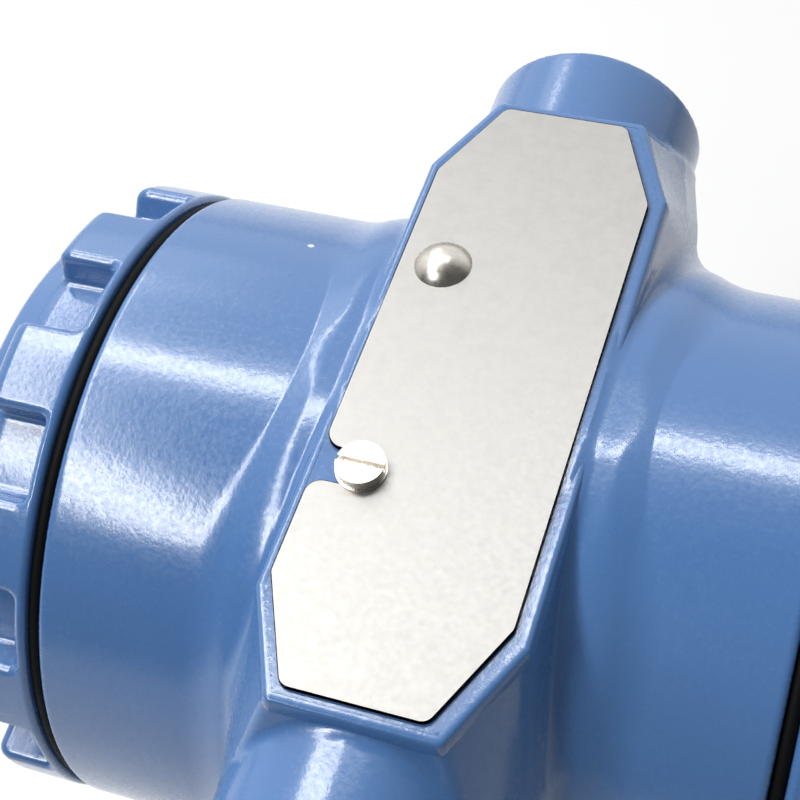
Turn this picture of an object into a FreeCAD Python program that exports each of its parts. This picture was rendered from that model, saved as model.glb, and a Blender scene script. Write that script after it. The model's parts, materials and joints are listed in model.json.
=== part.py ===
import FreeCAD, Part
import math
import os
import re
import Sketcher
from FreeCAD import Placement, Rotation, Vector

os.makedirs("parts", exist_ok=True)
doc = FreeCAD.newDocument("transmitter")
sheet = doc.addObject("Spreadsheet::Sheet", "Sizes")

# Driving dimensions in millimetres. The part stands on its process flange, +Z up.
# The cover axis runs along X, the conduit axis along Y, the neck axis is Z.
sizes = {
    "running_gap": 0.06,
    "seat_gap": 0.02,
    "thread_gap": 0.05,
    # process flange and its fasteners
    "flange_width": 66.0,
    "flange_length": 86.0,
    "flange_height": 38.0,
    "flange_corner": 5.0,
    "corner_step_height": 12.5,
    "head_room_across": 10.25,
    "corner_step_length": 25.0,
    "port_spacing": 54.0,
    "port_radius": 6.95,
    "port_depth": 16.0,
    "passage_radius": 3.2,
    "isolator_spacing": 40.0,
    "isolator_radius": 10.5,
    "isolator_recess": 1.2,
    "gasket_radius": 12.6,
    "gasket_section": 1.2,
    "gasket_land": 0.5,
    "bolt_spacing_across": 41.3,
    "bolt_inset_along": 16.0,
    "bolt_radius": 5.5,
    "bolt_clearance": 0.55,
    "bolt_head_circumradius": 9.16,
    "bolt_head_height": 7.2,
    "bolt_engagement": 12.5,
    "alignment_radius": 2.5,
    "alignment_head_radius": 4.4,
    "alignment_head_height": 3.6,
    "alignment_counterbore_depth": 8.0,
    "alignment_engagement": 7.0,
    # drain and vent valves on the two ends of the flange
    "vent_height": 24.5,
    "vent_bore_radius": 6.9,
    "vent_bore_depth": 11.0,
    "vent_passage_radius": 2.4,
    "vent_hex_circumradius": 8.4,
    "vent_hex_length": 5.0,
    "vent_stem_radius": 2.5,
    "vent_seat_radius": 1.3,
    "vent_seat_wall": 2.6,
    "vent_ball_radius": 2.3,
    "vent_stem_length": 15.0,
    "vent_stem_hex": 3.9,
    "vent_stem_hex_length": 4.6,
    # sensor module
    "module_inset": 1.0,
    "module_base_height": 15.0,
    "module_corner": 9.0,
    "can_radius": 30.0,
    "can_height": 20.0,
    "can_cone_height": 6.0,
    "collar_radius": 22.0,
    "collar_height": 9.94,
    "module_neck_radius": 15.5,
    "module_wall": 6.0,
    "module_floor": 11.0,
    "neck_bore_radius": 10.5,
    "diaphragm_thickness": 0.3,
    "diaphragm_recess": 0.9,
    "cell_radius": 13.0,
    "cell_height": 11.0,
    "tube_radius": 0.9,
    "tube_offset": 18.0,
    "tube_bend": 2.5,
    "sensor_board_radius": 20.0,
    "sensor_board_rise": 15.0,
    "board_thickness": 1.6,
    "standoff_radius": 1.8,
    "standoff_circle": 17.0,
    "header_height": 5.0,
    "pin_radius": 0.45,
    "pin_circle": 5.0,
    "pin_length": 9.0,
    "neck_seal_section": 1.1,
    "neck_seal_drop": 8.0,
    "module_roof": 2.0,
    # electronics housing
    "shell_radius": 39.5,
    "shell_edge": 0.8,
    "left_length": 41.95,
    "right_length": 38.15,
    "ring_rise": 1.7,
    "ring_half": 18.3,
    "ring_blend": 4.6,
    "ring_flat_rise": 0.2,
    "shell_wall": 5.1,
    "thread_wall": 3.5,
    "thread_depth": 13.0,
    "bulkhead_left": 4.0,
    "bulkhead_right": 1.0,
    "block_top_drop": 0.9,
    "block_low_drop": 15.5,
    "block_foot": 4.0,
    "block_slope_across": 0.17,
    "block_slope_along": 0.55,
    "block_foot_half_width": 19.0,
    "block_foot_inset": 1.5,
    "pad_margin": 1.7,
    "pad_rise": 0.4,
    "pad_corner": 1.2,
    "boss_radius": 13.8,
    "boss_drop": 15.0,
    "boss_length": 13.3,
    "boss_chamfer": 0.8,
    "conduit_radius": 10.3,
    "conduit_depth": 16.0,
    "wire_way_radius": 7.5,
    "wire_way_offset": -8.0,
    "neck_boss_radius": 23.5,
    "neck_boss_length": 12.5,
    "neck_bore_wall": 2.5,
    "neck_boss_bury": 9.5,
    "ribbon_slot_near": 3.0,
    "ribbon_slot_far": 12.0,
    "ribbon_slot_half_width": 9.0,
    "set_screw_radius": 2.0,
    "set_screw_length": 6.0,
    "set_screw_rise": 6.5,
    # grounding point at the back of the housing
    "ground_along": -27.0,
    "ground_drop": 15.0,
    "ground_boss_radius": 7.0,
    "ground_boss_length": 1.5,
    "ground_screw_radius": 2.4,
    "ground_head_radius": 4.6,
    "ground_head_height": 3.0,
    "ground_screw_grip": 8.0,
    "clamp_size": 12.0,
    "clamp_thickness": 1.5,
    # nameplate, its screws and the adjustment buttons under it
    "plate_half_width": 12.5,
    "plate_half_length": 38.9,
    "plate_chamfer_across": 5.15,
    "plate_chamfer_along": 11.35,
    "plate_thickness": 0.6,
    "plate_corner": 1.4,
    "pivot_across": -7.5,
    "pivot_along": 13.8,
    "pivot_radius": 1.6,
    "pivot_head_radius": 3.25,
    "pivot_head_height": 1.7,
    "pivot_grip": 4.0,
    "lock_along": -14.2,
    "lock_radius": 1.5,
    "lock_head_radius": 2.6,
    "lock_head_height": 1.2,
    "lock_washer_radius": 2.75,
    "lock_washer_thickness": 0.3,
    "lock_slot_width": 0.55,
    "lock_slot_depth": 0.7,
    "lock_grip": 4.4,
    "notch_half_width": 2.1,
    "notch_mouth": 2.0,
    "button_across": 2.5,
    "zero_along": -22.0,
    "span_along": -33.0,
    "button_radius": 2.6,
    "button_bore_depth": 11.0,
    "button_length": 5.5,
    "button_top_drop": 0.4,
    "button_travel": 1.5,
    "spring_radius": 1.9,
    "spring_wire": 0.3,
    "spring_turns": 3.0,
    # screwed end covers
    "cover_gap": 1.6,
    "cover_edge": 0.7,
    "cover_rim": 11.1,
    "cover_front": 15.5,
    "cover_crown": 19.0,
    "cover_crown_inset": 12.5,
    "skirt_taper": 1.5,
    "cover_wall": 4.0,
    "cover_spigot": 11.0,
    "spigot_wall": 4.54,
    "notch_start": 3.2,
    "notch_width": 10.0,
    "notch_depth": 4.6,
    "notch_count": 12,
    "cover_ring_inset": 0.6,
    "cover_turn": 1.9,
    # field terminals
    "terminal_disc_gap": 4.4,
    "terminal_disc_thickness": 9.0,
    "tower_gap": 4.2,
    "tower_width": 46.0,
    "tower_depth": 7.0,
    "terminal_spacing": 13.0,
    "terminal_screw_radius": 1.9,
    "terminal_head_radius": 3.9,
    "terminal_head_height": 2.4,
    "terminal_pocket_radius": 4.6,
    "terminal_pocket_depth": 3.4,
    "block_screw_inset": 8.0,
    "block_screw_radius": 1.5,
    "block_screw_head_radius": 2.8,
    "block_screw_head_height": 2.0,
    "bulkhead_grip": 3.0,
    # electronics stack
    "spacer_length": 7.0,
    "spacer_radius": 3.0,
    "stack_screw_inset": 6.0,
    "stack_screw_radius": 1.5,
    "stack_head_radius": 2.8,
    "stack_head_height": 2.0,
    "board_gap": 4.4,
    "shroud_gap": 3.9,
    "shroud_length": 13.0,
    "shroud_wall": 2.2,
    "ribbon_thickness": 0.4,
    "ribbon_half_width": 6.0,
    "connector_depth": 2.4,
    "connector_half_width": 7.5,
    "connector_height": 5.0,
    "connector_inset": 6.0,
    "ribbon_gap": 0.3,
}
for row, (alias, value) in enumerate(sizes.items(), 1):
    sheet.set("A%d" % row, alias)
    sheet.set("B%d" % row, str(value))
    sheet.setAlias("B%d" % row, alias)
doc.recompute()

# Sizes that follow from the ones above
derived = {
    "bolt_across": "(bolt_spacing_across / 2)",
    "corner_step_width": "(flange_width / 2 - bolt_across + head_room_across)",
    "bolt_along": "(flange_length / 2 - bolt_inset_along)",
    "module_width": "flange_width",
    "module_length": "(flange_length - 2 * module_inset)",
    "can_top": "(flange_height + module_base_height + can_height)",
    "collar_top": "(can_top + can_cone_height + collar_height)",
    "axis_height": "(collar_top + running_gap + neck_boss_drop)",
    "neck_boss_drop": "(shell_radius + neck_boss_length)",
    "neck_bore_top": "(shell_radius - neck_bore_wall)",
    "neck_boss_root": "(shell_radius - neck_boss_bury)",
    "neck_top": "(axis_height - neck_bore_top - running_gap)",
    "set_screw_drop": "(neck_boss_drop - set_screw_rise)",
    "ring_radius": "(shell_radius + ring_rise)",
    "ring_flat": "(shell_radius + ring_flat_rise)",
    "cavity_radius": "(shell_radius - shell_wall)",
    "thread_radius": "(shell_radius - thread_wall)",
    "block_top": "(shell_radius - block_top_drop)",
    "block_low": "(shell_radius - block_low_drop)",
    "block_foot_half_length": "(shell_radius - block_foot_inset)",
    "pad_height": "(shell_radius + pad_rise)",
    "boss_height": "(shell_radius - boss_drop)",
    "boss_reach": "(shell_radius + boss_length)",
    "ground_boss_reach": "(shell_radius + ground_boss_length)",
    "cover_radius": "shell_radius",
    "cover_crown_radius": "(shell_radius - cover_crown_inset)",
    "notch_floor": "(shell_radius - notch_depth)",
    "skirt_radius": "notch_floor",
    "skirt_front_radius": "(skirt_radius - skirt_taper)",
    "spigot_radius": "(thread_radius - running_gap)",
    "spigot_bore_radius": "(spigot_radius - spigot_wall)",
    "cover_ring_radius": "(shell_radius - cover_ring_inset)",
    "terminal_disc_radius": "(cavity_radius - terminal_disc_gap)",
    "block_screw_offset": "(terminal_disc_radius - block_screw_inset)",
    "tower_height": "(2 * (block_screw_offset - block_screw_head_radius - tower_gap))",
    "board_radius": "(cavity_radius - board_gap)",
    "shroud_radius": "(cavity_radius - shroud_gap)",
    "stack_screw_circle": "(board_radius - stack_screw_inset)",
    "connector_drop": "(board_radius - connector_inset)",
}
pieces = {}


def bound(formula):
    """Write out derived sizes and put the sheet's name before every alias."""
    def written(word):
        name = word.group(0)
        if name in derived:
            return bound(derived[name])
        return "Sizes." + name if name in sizes else name
    return re.sub(r"(?<![\w.])[a-z][a-z_]+", written, str(formula))


def turned(axis):
    """Rotation that lays a primitive's own Z along the named axis."""
    return {"z": Rotation(), "x": Rotation(Vector(0, 1, 0), 90), "-x": Rotation(Vector(0, 1, 0), -90),
            "y": Rotation(Vector(1, 0, 0), -90), "-y": Rotation(Vector(1, 0, 0), 90),
            "-z": Rotation(Vector(1, 0, 0), 180)}[axis]


def place(item, at, rotation=None):
    item.Placement = Placement(Vector(), rotation or Rotation())
    for letter, formula in zip("xyz", at):
        item.setExpression("Placement.Base." + letter, bound(formula))
    return item


def primitive(kind, name, at, axis, **formulas):
    item = doc.addObject("Part::" + kind, name)
    for prop, formula in formulas.items():
        item.setExpression(prop, bound(formula))
    return place(item, at, turned(axis))


def cylinder(name, radius, height, at, axis="z"):
    return primitive("Cylinder", name, at, axis, Radius=radius, Height=height)


def cone(name, radius, end_radius, height, at, axis="z"):
    return primitive("Cone", name, at, axis, Radius1=radius, Radius2=end_radius, Height=height)


def box(name, length, width, height, at):
    return primitive("Box", name, at, "z", Length=length, Width=width, Height=height)


def ball(name, radius, at):
    return primitive("Sphere", name, at, "z", Radius=radius)


def ring(name, radius, section, at, axis="z"):
    return primitive("Torus", name, at, axis, Radius1=radius, Radius2=section)


def hexagon(name, circumradius, height, at, axis="z"):
    item = primitive("Prism", name, at, axis, Circumradius=circumradius, Height=height)
    item.Polygon = 6
    return item


def fuse(name, *shapes):
    item = doc.addObject("Part::MultiFuse", name)
    item.Shapes = list(shapes)
    item.Refine = True
    return item


def group(name, *shapes):
    item = doc.addObject("Part::Compound", name)
    item.Links = list(shapes)
    return item


def cut(name, base, *tools):
    item = doc.addObject("Part::Cut", name)
    item.Base = base
    item.Tool = tools[0] if len(tools) == 1 else fuse(name + "_tool", *tools)
    return item


def common(name, base, tool):
    item = doc.addObject("Part::Common", name)
    item.Base = base
    item.Tool = tool
    return item


def outline(sketch, points):
    """Closed polygon whose corners are held by named distances from the sketch origin."""
    count = len(points)
    corners = [Vector(10 * math.cos(2 * math.pi * i / count), 10 * math.sin(2 * math.pi * i / count), 0)
               for i in range(count)]
    for i in range(count):
        sketch.addGeometry(Part.LineSegment(corners[i], corners[(i + 1) % count]), False)
    for i in range(count):
        sketch.addConstraint(Sketcher.Constraint("Coincident", i, 2, (i + 1) % count, 1))
    for i, (first, second) in enumerate(points):
        for kind, letter, formula in (("DistanceX", "a", first), ("DistanceY", "b", second)):
            number = sketch.addConstraint(Sketcher.Constraint(kind, -1, 1, i, 1, 10.0))
            sketch.renameConstraint(number, "%s%d" % (letter, i))
            sketch.setExpression("Constraints.%s%d" % (letter, i), bound(formula))


def sketch_on(body, plane, points, lift=None):
    sketch = body.newObject("Sketcher::SketchObject", body.Name + "_sketch")
    origin_plane = [part for part in body.Origin.OriginFeatures if part.Role == plane][0]
    sketch.AttachmentSupport = [(origin_plane, "")]
    sketch.MapMode = "FlatFace"
    if lift is not None:
        sketch.setExpression("AttachmentOffset.Base.z", bound(lift))
    outline(sketch, points)
    return sketch


def turning(name, axis, points, at):
    """Body turned about an axis from (along, radius) points."""
    body = doc.addObject("PartDesign::Body", name)
    plane = "XZ_Plane" if axis == "z" else "XY_Plane"
    pairs = points if axis == "x" else [(radius, along) for along, radius in points]
    sketch = sketch_on(body, plane, pairs)
    turn = body.newObject("PartDesign::Revolution", name + "_turn")
    turn.Profile = sketch
    turn.ReferenceAxis = (sketch, ["H_Axis" if axis == "x" else "V_Axis"])
    turn.Angle = 360.0
    return place(body, at)


def slab(name, points, thickness, at):
    """Body made by raising an outline in the XY plane."""
    body = doc.addObject("PartDesign::Body", name)
    sketch = sketch_on(body, "XY_Plane", points)
    rise = body.newObject("PartDesign::Pad", name + "_rise")
    rise.Profile = sketch
    rise.setExpression("Length", bound(thickness))
    return place(body, at)


def rounded(name, base, radius, chosen):
    """Round the edges of a finished piece that a test picks out."""
    doc.recompute()
    item = doc.addObject("Part::Fillet", name)
    item.Base = base
    item.Edges = [(number, radius, radius)
                  for number, edge in enumerate(base.Shape.Edges, 1) if chosen(edge)]
    return item


def upright(edge):
    ends = [vertex.Point for vertex in edge.Vertexes]
    return len(ends) == 2 and abs(ends[0].x - ends[1].x) < 1e-6 and abs(ends[0].y - ends[1].y) < 1e-6


def keep(node, item):
    item.Label = node
    pieces[node] = item
    return item


axis = "axis_height"
flange_top = "flange_height"
port_half = "port_spacing / 2"
isolator_half = "isolator_spacing / 2"
signs = (-1, 1)
corners = [(a, b) for a in signs for b in signs]

# Process flange: steps for the bolt heads, two threaded ports, two vent bores and the isolator pockets
flange_block = box("flange_block", "flange_width", "flange_length", "flange_height",
                   ("-flange_width / 2", "-flange_length / 2", 0))
flange_round = rounded("flange_round", flange_block, sizes["flange_corner"], upright)
flange_tools = []
for a, b in corners:
    step_x = "flange_width / 2 - corner_step_width" if a > 0 else "-flange_width / 2 - 1"
    step_y = "flange_length / 2 - corner_step_length" if b > 0 else "-flange_length / 2 - 1"
    flange_tools.append(box("corner_step", "corner_step_width + 1", "corner_step_length + 1",
                            "corner_step_height + 1", (step_x, step_y, -1)))
    flange_tools.append(cylinder("bolt_hole", "bolt_radius + bolt_clearance", "flange_height + 2",
                                 ("%d * bolt_across" % a, "%d * bolt_along" % b, -1)))
for b in signs:
    flange_tools.append(cylinder("port_bore", "port_radius", "port_depth + 1",
                                 (0, "%d * %s" % (b, port_half), -1)))
    flange_tools.append(cylinder("passage", "passage_radius", "flange_height - port_depth + 2",
                                 (0, "%d * %s" % (b, port_half), "port_depth - 1")))
    flange_tools.append(cylinder("isolator_pocket", "isolator_radius", "isolator_recess + 1",
                                 (0, "%d * %s" % (b, isolator_half), "flange_height - isolator_recess")))
    flange_tools.append(cylinder("vent_bore", "vent_bore_radius", "vent_bore_depth + 1",
                                 (0, "%d * (flange_length / 2 - vent_bore_depth)" % b, "vent_height"),
                                 "y" if b > 0 else "-y"))
    flange_tools.append(cylinder("vent_passage", "vent_passage_radius", "flange_length / 2 - %s" % port_half,
                                 (0, "%d * %s" % (b, port_half), "vent_height"), "y" if b > 0 else "-y"))
    flange_tools.append(cut("gasket_groove",
                            cylinder("groove_out", "gasket_radius + gasket_section + 0.2",
                                     "gasket_section * 2",
                                     (0, "%d * %s" % (b, isolator_half),
                                      "flange_height - 2 * gasket_section")),
                            cylinder("groove_in", "gasket_radius - gasket_section - 0.2",
                                     "gasket_section * 2 + 2",
                                     (0, "%d * %s" % (b, isolator_half),
                                      "flange_height - 2 * gasket_section - 1"))))
flange_tools.append(cylinder("alignment_bore", "alignment_radius + 0.3", "flange_height + 2", (0, 0, -1)))
flange_tools.append(cylinder("alignment_counterbore", "alignment_head_radius + 0.6",
                             "alignment_counterbore_depth + 1", (0, 0, -1)))
keep("process_flange", cut("flange_cut", flange_round, *flange_tools))

for number, (a, b) in enumerate(corners, 1):
    at = ("%d * bolt_across" % a, "%d * bolt_along" % b)
    keep("flange_bolt_%d" % number,
         fuse("bolt", hexagon("bolt_head", "bolt_head_circumradius", "bolt_head_height",
                              at + ("corner_step_height - bolt_head_height",)),
              cylinder("bolt_shank", "bolt_radius", "flange_height - corner_step_height + bolt_engagement",
                       at + ("corner_step_height",))))

# Vent valves: a screwed seat, a ball on its hole and a threaded stem that holds the ball down
seat_floor = "(flange_length / 2 - vent_bore_depth + vent_seat_wall)"
ball_centre = "(%s + sqrt(vent_ball_radius^2 - vent_seat_radius^2) + seat_gap)" % seat_floor
stem_start = "(%s + vent_ball_radius + seat_gap)" % ball_centre
for number, b in enumerate(signs, 1):
    way = "y" if b > 0 else "-y"
    seat_blank = fuse("seat_blank",
                      cylinder("seat_thread", "vent_bore_radius - thread_gap", "vent_bore_depth",
                               (0, "%d * (flange_length / 2 - vent_bore_depth)" % b, "vent_height"), way),
                      hexagon("seat_hex", "vent_hex_circumradius", "vent_hex_length",
                              (0, "%d * flange_length / 2" % b, "vent_height"), way))
    keep("vent_seat_%d" % number,
         cut("seat_cut", seat_blank,
             cylinder("stem_bore", "vent_stem_radius + thread_gap", "vent_bore_depth + vent_hex_length",
                      (0, "%d * %s" % (b, seat_floor), "vent_height"), way),
             cylinder("seat_hole", "vent_seat_radius", "vent_bore_depth",
                      (0, "%d * (flange_length / 2 - vent_bore_depth - 1)" % b, "vent_height"), way)))
    keep("vent_ball_%d" % number,
         ball("vent_ball", "vent_ball_radius", (0, "%d * %s" % (b, ball_centre), "vent_height")))
    keep("vent_stem_%d" % number,
         fuse("vent_stem", cylinder("stem_rod", "vent_stem_radius", "vent_stem_length",
                                    (0, "%d * %s" % (b, stem_start), "vent_height"), way),
              hexagon("stem_hex", "vent_stem_hex", "vent_stem_hex_length",
                      (0, "%d * (%s + vent_stem_length - vent_stem_hex_length)" % (b, stem_start),
                       "vent_height"), way)))
    keep("process_o_ring_%d" % number,
         ring("gasket", "gasket_radius", "gasket_section",
              (0, "%d * %s" % (b, isolator_half), "flange_height - gasket_section")))

# Sensor module: bolted base, round can, collar and the neck that the housing turns on
can_top = "can_top"
neck_top = "neck_top"
cavity_floor = "(flange_height + module_floor)"
cavity_top = "(%s - module_roof)" % can_top
module_base = rounded("module_base_round",
                      box("module_base", "module_width", "module_length", "module_base_height",
                          ("-module_width / 2", "-module_length / 2", flange_top)),
                      sizes["module_corner"], upright)
module_can = turning("module_can", "z", [
    ("flange_height + module_base_height - 1", 0),
    ("flange_height + module_base_height - 1", "can_radius"),
    (can_top, "can_radius"),
    (can_top + " + can_cone_height", "collar_radius"),
    ("collar_top", "collar_radius"),
    ("collar_top", "module_neck_radius"),
    (neck_top, "module_neck_radius"),
    (neck_top, 0)], (0, 0, 0))
module_tools = [
    cylinder("module_cavity", "can_radius - module_wall", "%s - %s" % (cavity_top, cavity_floor),
             (0, 0, cavity_floor)),
    cylinder("neck_way", "neck_bore_radius", "%s - %s + 1" % (neck_top, cavity_top),
             (0, 0, cavity_top)),
    cylinder("alignment_thread", "alignment_radius + thread_gap", "alignment_engagement + 1",
             (0, 0, flange_top)),
    cut("neck_groove",
        cylinder("neck_groove_out", "module_neck_radius + 1", "2 * neck_seal_section",
                 (0, 0, neck_top + " - neck_seal_drop - neck_seal_section")),
        cylinder("neck_groove_in", "module_neck_radius - 2 * neck_seal_section",
                 "2 * neck_seal_section + 2",
                 (0, 0, neck_top + " - neck_seal_drop - neck_seal_section - 1"))),
]
for a, b in corners:
    module_tools.append(cylinder("bolt_thread", "bolt_radius + thread_gap", "bolt_engagement + 1",
                                 ("%d * bolt_across" % a, "%d * bolt_along" % b, flange_top)))
for b in signs:
    module_tools.append(cylinder("diaphragm_recess_%d" % (b + 1), "isolator_radius",
                                 "diaphragm_recess + 1",
                                 (0, "%d * %s" % (b, isolator_half), flange_top + " - 1")))
    module_tools.append(cylinder("tube_hole", "tube_radius", "module_floor",
                                 (0, "%d * tube_offset" % b, flange_top)))
keep("sensor_module", cut("module_cut", fuse("module_blank", module_base, module_can), *module_tools))

tube_height = "(%s + cell_height / 2)" % cavity_floor
for number, b in enumerate(signs, 1):
    keep("isolating_diaphragm_%d" % number,
         cylinder("diaphragm", "isolator_radius", "diaphragm_thickness",
                  (0, "%d * %s" % (b, isolator_half),
                   flange_top + " + diaphragm_recess - diaphragm_thickness")))
    bend = primitive("Torus", "tube_elbow", (0, "%d * (tube_offset - tube_bend)" % b,
                                             tube_height + " - tube_bend"), "z",
                     Radius1="tube_bend", Radius2="tube_radius")
    bend.Angle3 = 90.0
    bend.Placement = Placement(Vector(), Rotation(Vector(0, b, 0), Vector(0, 0, 1), Vector(b, 0, 0), "ZXY"))
    keep("fill_tube_%d" % number,
         fuse("fill_tube",
              cylinder("tube_rise", "tube_radius",
                       "%s - tube_bend - flange_height - diaphragm_recess" % tube_height,
                       (0, "%d * tube_offset" % b, flange_top + " + diaphragm_recess")),
              bend,
              cylinder("tube_run", "tube_radius", "tube_offset - tube_bend - cell_radius",
                       (0, "%d * cell_radius" % b, tube_height), "y" if b > 0 else "-y")))
keep("sensor_cell", cylinder("cell", "cell_radius", "cell_height", (0, 0, cavity_floor)))
for number, angle in enumerate((45, 165, 285), 1):
    keep("board_standoff_%d" % number,
         cylinder("standoff", "standoff_radius", "sensor_board_rise",
                  ("standoff_circle * cos(%d)" % angle, "standoff_circle * sin(%d)" % angle, cavity_floor)))
keep("sensor_board", cylinder("module_board", "sensor_board_radius", "board_thickness",
                              (0, 0, cavity_floor + " + sensor_board_rise")))
header_pins = [cylinder("pin", "pin_radius", "pin_length",
                        ("pin_circle * cos(%d)" % (60 * turn), "pin_circle * sin(%d)" % (60 * turn),
                         neck_top + " - pin_length")) for turn in range(6)]
keep("sensor_header", fuse("header", cylinder("header_disc", "neck_bore_radius", "header_height",
                                              (0, 0, neck_top + " - header_height")), *header_pins))
keep("neck_o_ring", ring("neck_ring", "module_neck_radius - neck_seal_section", "neck_seal_section",
                         (0, 0, neck_top + " - neck_seal_drop")))
alignment_blank = fuse("alignment_blank",
                       cylinder("alignment_head", "alignment_head_radius", "alignment_head_height",
                                (0, 0, "alignment_counterbore_depth - alignment_head_height")),
                       cylinder("alignment_shank", "alignment_radius",
                                "flange_height - alignment_counterbore_depth + alignment_engagement",
                                (0, 0, "alignment_counterbore_depth")))
keep("alignment_screw",
     cut("alignment_cut", alignment_blank,
         hexagon("alignment_socket", "alignment_radius", "alignment_head_height * 0.6 + 1",
                 (0, 0, "alignment_counterbore_depth - alignment_head_height - 1"))))


def octagon(half_across, half_along, cut_across, cut_along):
    short = "(%s - %s)" % (half_along, cut_along)
    narrow = "(%s - %s)" % (half_across, cut_across)
    return [("%s" % half_across, "-" + short), ("%s" % half_across, short),
            (narrow, "%s" % half_along), ("-" + narrow, "%s" % half_along),
            ("-(%s)" % half_across, short), ("-(%s)" % half_across, "-" + short),
            ("-" + narrow, "-(%s)" % half_along), (narrow, "-(%s)" % half_along)]


def flat_frame(name, points, height):
    sketch = doc.addObject("Sketcher::SketchObject", name)
    outline(sketch, points)
    return place(sketch, (0, 0, height))


# Housing shell: turned barrel with a raised middle ring, drafted block, nameplate pad and bosses
ring_steps = [(1.0, 0.0), (0.7, 0.12), (0.35, 0.7), (0.0, 1.0)]
left_side = [("-(ring_half + %g * ring_blend)" % share,
              "shell_radius + %g * (ring_radius - shell_radius)" % rise) for share, rise in ring_steps]
right_side = [("ring_half + %g * ring_blend" % share,
               "shell_radius + %g * (ring_radius - shell_radius)" % rise)
              for share, rise in reversed(ring_steps)]
barrel = turning("barrel", "x", [
    ("-left_length", 0), ("-left_length", "shell_radius - shell_edge"),
    ("-left_length + shell_edge", "shell_radius")] + left_side + right_side + [
    ("right_length - shell_edge", "shell_radius"), ("right_length", "shell_radius - shell_edge"),
    ("right_length", 0)], (0, 0, axis))
flattened = cut("flattened", barrel,
                box("ring_crest", "left_length + right_length", "4 * shell_radius", "shell_radius",
                    ("-left_length", "-2 * shell_radius", "axis_height + ring_flat")))
pad_across = "(plate_half_width + pad_margin)"
pad_along = "(plate_half_length + pad_margin)"
slope_drop = "(block_top - block_low)"
block = doc.addObject("Part::Loft", "block")
block.Sections = [
    flat_frame("block_foot_frame",
               octagon("block_foot_half_width", "block_foot_half_length",
                       "plate_chamfer_across", "plate_chamfer_along"), "axis_height - block_foot"),
    flat_frame("block_low_frame",
               octagon("(%s + block_slope_across * %s)" % (pad_across, slope_drop),
                       "(%s + block_slope_along * %s)" % (pad_along, slope_drop),
                       "plate_chamfer_across", "plate_chamfer_along"), "axis_height + block_low"),
    flat_frame("block_top_frame",
               octagon(pad_across, pad_along, "plate_chamfer_across", "plate_chamfer_along"),
               "axis_height + block_top")]
block.Solid = True
block.Ruled = True
pad_slab = slab("pad_slab", octagon(pad_across, pad_along, "plate_chamfer_across", "plate_chamfer_along"),
                "pad_height - block_top", (0, 0, "axis_height + block_top"))
housing_parts = [flattened, block, rounded("pad_round", pad_slab, sizes["pad_corner"], upright),
                 cylinder("neck_boss", "neck_boss_radius", "neck_boss_drop - neck_boss_root",
                          (0, 0, "axis_height - neck_boss_drop")),
                 cylinder("ground_boss", "ground_boss_radius", "ground_boss_reach / 2",
                          ("ground_along", "ground_boss_reach / 2", "axis_height - ground_drop"), "y")]
for b in signs:
    way = "y" if b > 0 else "-y"
    housing_parts.append(cylinder("conduit_boss", "boss_radius", "boss_reach - boss_chamfer",
                                  (0, 0, "axis_height + boss_height"), way))
    housing_parts.append(cone("conduit_lip", "boss_radius", "boss_radius - boss_chamfer", "boss_chamfer",
                              (0, "%d * (boss_reach - boss_chamfer)" % b, "axis_height + boss_height"), way))

head_base = "(axis_height + pad_height + seat_gap + plate_thickness + seat_gap)"
housing_tools = [
    cylinder("terminal_cavity", "cavity_radius", "left_length - bulkhead_left + 1",
             ("-left_length - 1", 0, axis), "x"),
    cylinder("terminal_thread", "thread_radius", "thread_depth + 1", ("-left_length - 1", 0, axis), "x"),
    cylinder("circuit_cavity", "cavity_radius", "right_length - bulkhead_right + 1",
             ("bulkhead_right", 0, axis), "x"),
    cylinder("circuit_thread", "thread_radius", "thread_depth + 1", ("right_length - thread_depth", 0, axis),
             "x"),
    cylinder("neck_bore", "module_neck_radius + thread_gap", "neck_boss_drop - neck_bore_top + 1",
             (0, 0, "axis_height - neck_boss_drop - 1")),
    box("ribbon_slot", "ribbon_slot_far - ribbon_slot_near", "2 * ribbon_slot_half_width",
        "neck_bore_top / 2", ("ribbon_slot_near", "-ribbon_slot_half_width", "axis_height - neck_bore_top - 1")),
    cylinder("set_screw_hole", "set_screw_radius + thread_gap", "neck_boss_radius",
             ("-neck_boss_radius - 1", 0, "axis_height - set_screw_drop"), "x"),
    cylinder("ground_hole", "ground_screw_radius + thread_gap", "ground_screw_grip + 1.5",
             ("ground_along", "ground_boss_reach - ground_screw_grip - 0.5", "axis_height - ground_drop"), "y"),
    cylinder("pivot_hole", "pivot_radius", "pivot_grip + 1",
             ("pivot_across", "pivot_along", "axis_height + pad_height - pivot_grip")),
    cylinder("lock_hole", "lock_radius + thread_gap", "lock_grip + 1.4",
             ("pivot_across", "lock_along", "axis_height + pad_height - lock_grip - 0.4")),
]
for b in signs:
    way = "y" if b > 0 else "-y"
    housing_tools.append(cylinder("conduit_bore", "conduit_radius", "conduit_depth + 1",
                                  (0, "%d * (boss_reach - conduit_depth)" % b, "axis_height + boss_height"),
                                  way))
    housing_tools.append(cylinder("wire_way", "wire_way_radius", "conduit_depth + 1",
                                  ("wire_way_offset",
                                   "%d * (boss_reach - 2 * conduit_depth)" % b,
                                   "axis_height + boss_height"), way))
    housing_tools.append(cylinder("block_screw_hole", "block_screw_radius + thread_gap", "bulkhead_grip + 1.2",
                                  ("-bulkhead_left - 1", 0, "axis_height + %d * block_screw_offset" % b),
                                  "x"))
stack_angles = (0, 120, 240)
stack_places = [("stack_screw_circle * cos(%d)" % angle, "axis_height + stack_screw_circle * sin(%d)" % angle)
                for angle in stack_angles]
for place_y, place_z in stack_places:
    housing_tools.append(cylinder("stack_hole", "stack_screw_radius + thread_gap", "bulkhead_grip + 1.2",
                                  ("bulkhead_right - bulkhead_grip - 0.2", place_y, place_z), "x"))
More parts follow.
